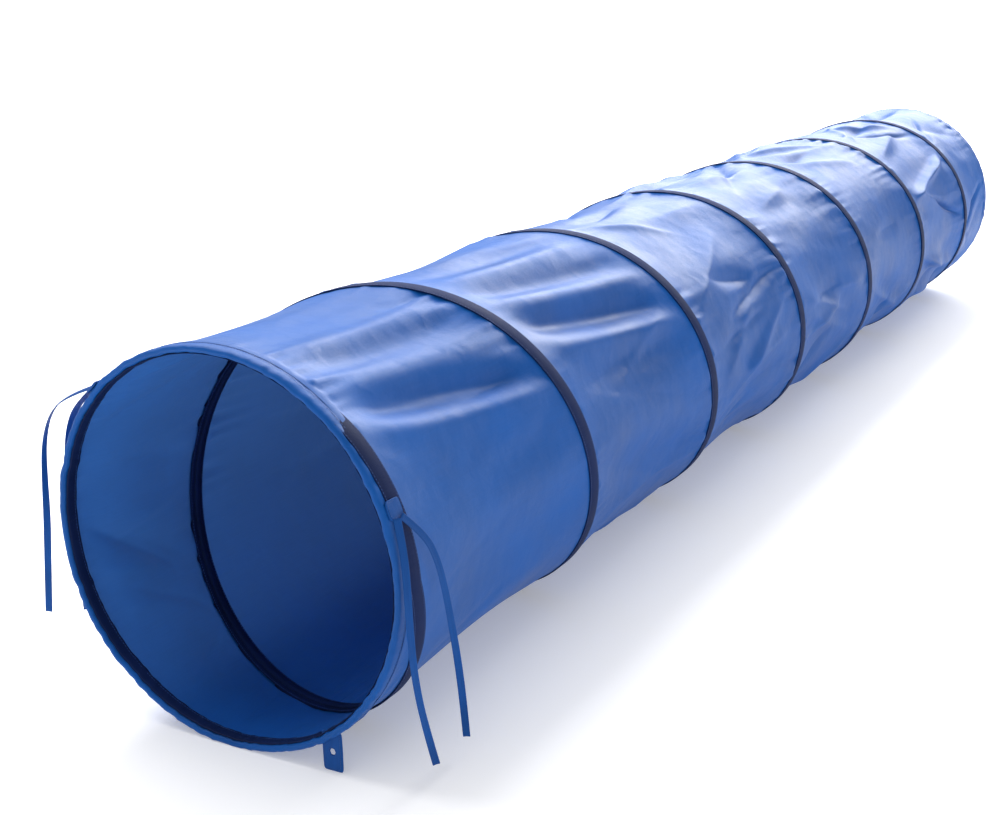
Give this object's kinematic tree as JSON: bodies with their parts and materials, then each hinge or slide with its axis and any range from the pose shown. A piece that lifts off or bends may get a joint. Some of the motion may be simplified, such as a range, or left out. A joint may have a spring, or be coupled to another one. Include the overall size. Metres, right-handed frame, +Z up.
{
  "type": "agility tunnel",
  "caption": "Round collapsible play and training tunnel for dogs: a cloth tube held open by a helical spring wire, with tie tapes at the mouth and peg tabs.",
  "frame": {"origin": "on the ground, under the middle of the tunnel", "axes": "+X along the tunnel from the mouth with the ties to the far end, +Z up"},
  "size_m": [3.0055, 0.5558, 0.4984],
  "materials": {
    "tunnel_cloth": "glossy woven synthetic, royal blue",
    "casing_tape": "navy binding tape",
    "spring_wire": "bright drawn spring wire",
    "wire_cap": "black",
    "tie_tape": "narrow blue woven tape",
    "tab_webbing": "blue webbing"
  },
  "bodies": {
    "mouth_end": {"mouth_hem": "tunnel_cloth", "mouth_ring_wire": "spring_wire", "mouth_lead_out_wire": "spring_wire", "mouth_wire_cap": "wire_cap", "mouth_peg_tab": "tab_webbing", "tie_patch_left": "tie_tape", "tie_patch_right": "tie_tape", "tie_tape_left_front": "tie_tape", "tie_tape_left_back": "tie_tape", "tie_tape_right_front": "tie_tape", "tie_tape_right_back": "tie_tape", "fabric_panel_1": "tunnel_cloth", "wire_turn_1": "spring_wire", "wire_casing_1": "casing_tape"},
    "turn_2": {"fabric_panel_2": "tunnel_cloth", "wire_turn_2": "spring_wire", "wire_casing_2": "casing_tape"},
    "turn_3": {"fabric_panel_3": "tunnel_cloth", "wire_turn_3": "spring_wire", "wire_casing_3": "casing_tape"},
    "turn_4": {"fabric_panel_4": "tunnel_cloth", "wire_turn_4": "spring_wire", "wire_casing_4": "casing_tape"},
    "turn_5": {"fabric_panel_5": "tunnel_cloth", "wire_turn_5": "spring_wire", "wire_casing_5": "casing_tape"},
    "turn_6": {"fabric_panel_6": "tunnel_cloth", "wire_turn_6": "spring_wire", "wire_casing_6": "casing_tape"},
    "turn_7": {"fabric_panel_7": "tunnel_cloth", "wire_turn_7": "spring_wire", "wire_casing_7": "casing_tape"},
    "far_end": {"far_hem": "tunnel_cloth", "far_ring_wire": "spring_wire", "far_lead_out_wire": "spring_wire", "far_wire_cap": "wire_cap", "far_peg_tab": "tab_webbing"}
  },
  "joints": [
    {"name": "collapse", "type": "slide", "parent": "mouth_end", "child": "turn_2", "axis": [1, 0, 0], "range_m": [-0.4373, 0], "stiffness_N_per_m": 76.5, "deforming": ["fabric_panel_1", "wire_turn_1", "wire_casing_1", "mouth_lead_out_wire"]},
    {"name": "collapse_turn_2", "type": "slide", "parent": "turn_2", "child": "turn_3", "axis": [1, 0, 0], "range_m": [-0.42529, 0], "stiffness_N_per_m": 78.7, "deforming": ["fabric_panel_2", "wire_turn_2", "wire_casing_2"]},
    {"name": "collapse_turn_3", "type": "slide", "parent": "turn_3", "child": "turn_4", "axis": [1, 0, 0], "range_m": [-0.42529, 0], "stiffness_N_per_m": 78.7, "deforming": ["fabric_panel_3", "wire_turn_3", "wire_casing_3"]},
    {"name": "collapse_turn_4", "type": "slide", "parent": "turn_4", "child": "turn_5", "axis": [1, 0, 0], "range_m": [-0.42529, 0], "stiffness_N_per_m": 78.7, "deforming": ["fabric_panel_4", "wire_turn_4", "wire_casing_4"]},
    {"name": "collapse_turn_5", "type": "slide", "parent": "turn_5", "child": "turn_6", "axis": [1, 0, 0], "range_m": [-0.42529, 0], "stiffness_N_per_m": 78.7, "deforming": ["fabric_panel_5", "wire_turn_5", "wire_casing_5"]},
    {"name": "collapse_turn_6", "type": "slide", "parent": "turn_6", "child": "turn_7", "axis": [1, 0, 0], "range_m": [-0.42529, 0], "stiffness_N_per_m": 78.7, "deforming": ["fabric_panel_6", "wire_turn_6", "wire_casing_6"]},
    {"name": "collapse_turn_7", "type": "slide", "parent": "turn_7", "child": "far_end", "axis": [1, 0, 0], "range_m": [-0.2254, 0], "stiffness_N_per_m": 148.7, "deforming": ["fabric_panel_7", "wire_turn_7", "wire_casing_7", "far_lead_out_wire"]}
  ],
  "couplings": [
    {"joint": "collapse_turn_2", "follows": "collapse", "ratio": 0.97141},
    {"joint": "collapse_turn_3", "follows": "collapse", "ratio": 0.97141},
    {"joint": "collapse_turn_4", "follows": "collapse", "ratio": 0.97141},
    {"joint": "collapse_turn_5", "follows": "collapse", "ratio": 0.97141},
    {"joint": "collapse_turn_6", "follows": "collapse", "ratio": 0.97141},
    {"joint": "collapse_turn_7", "follows": "collapse", "ratio": 0.51429}
  ]
}
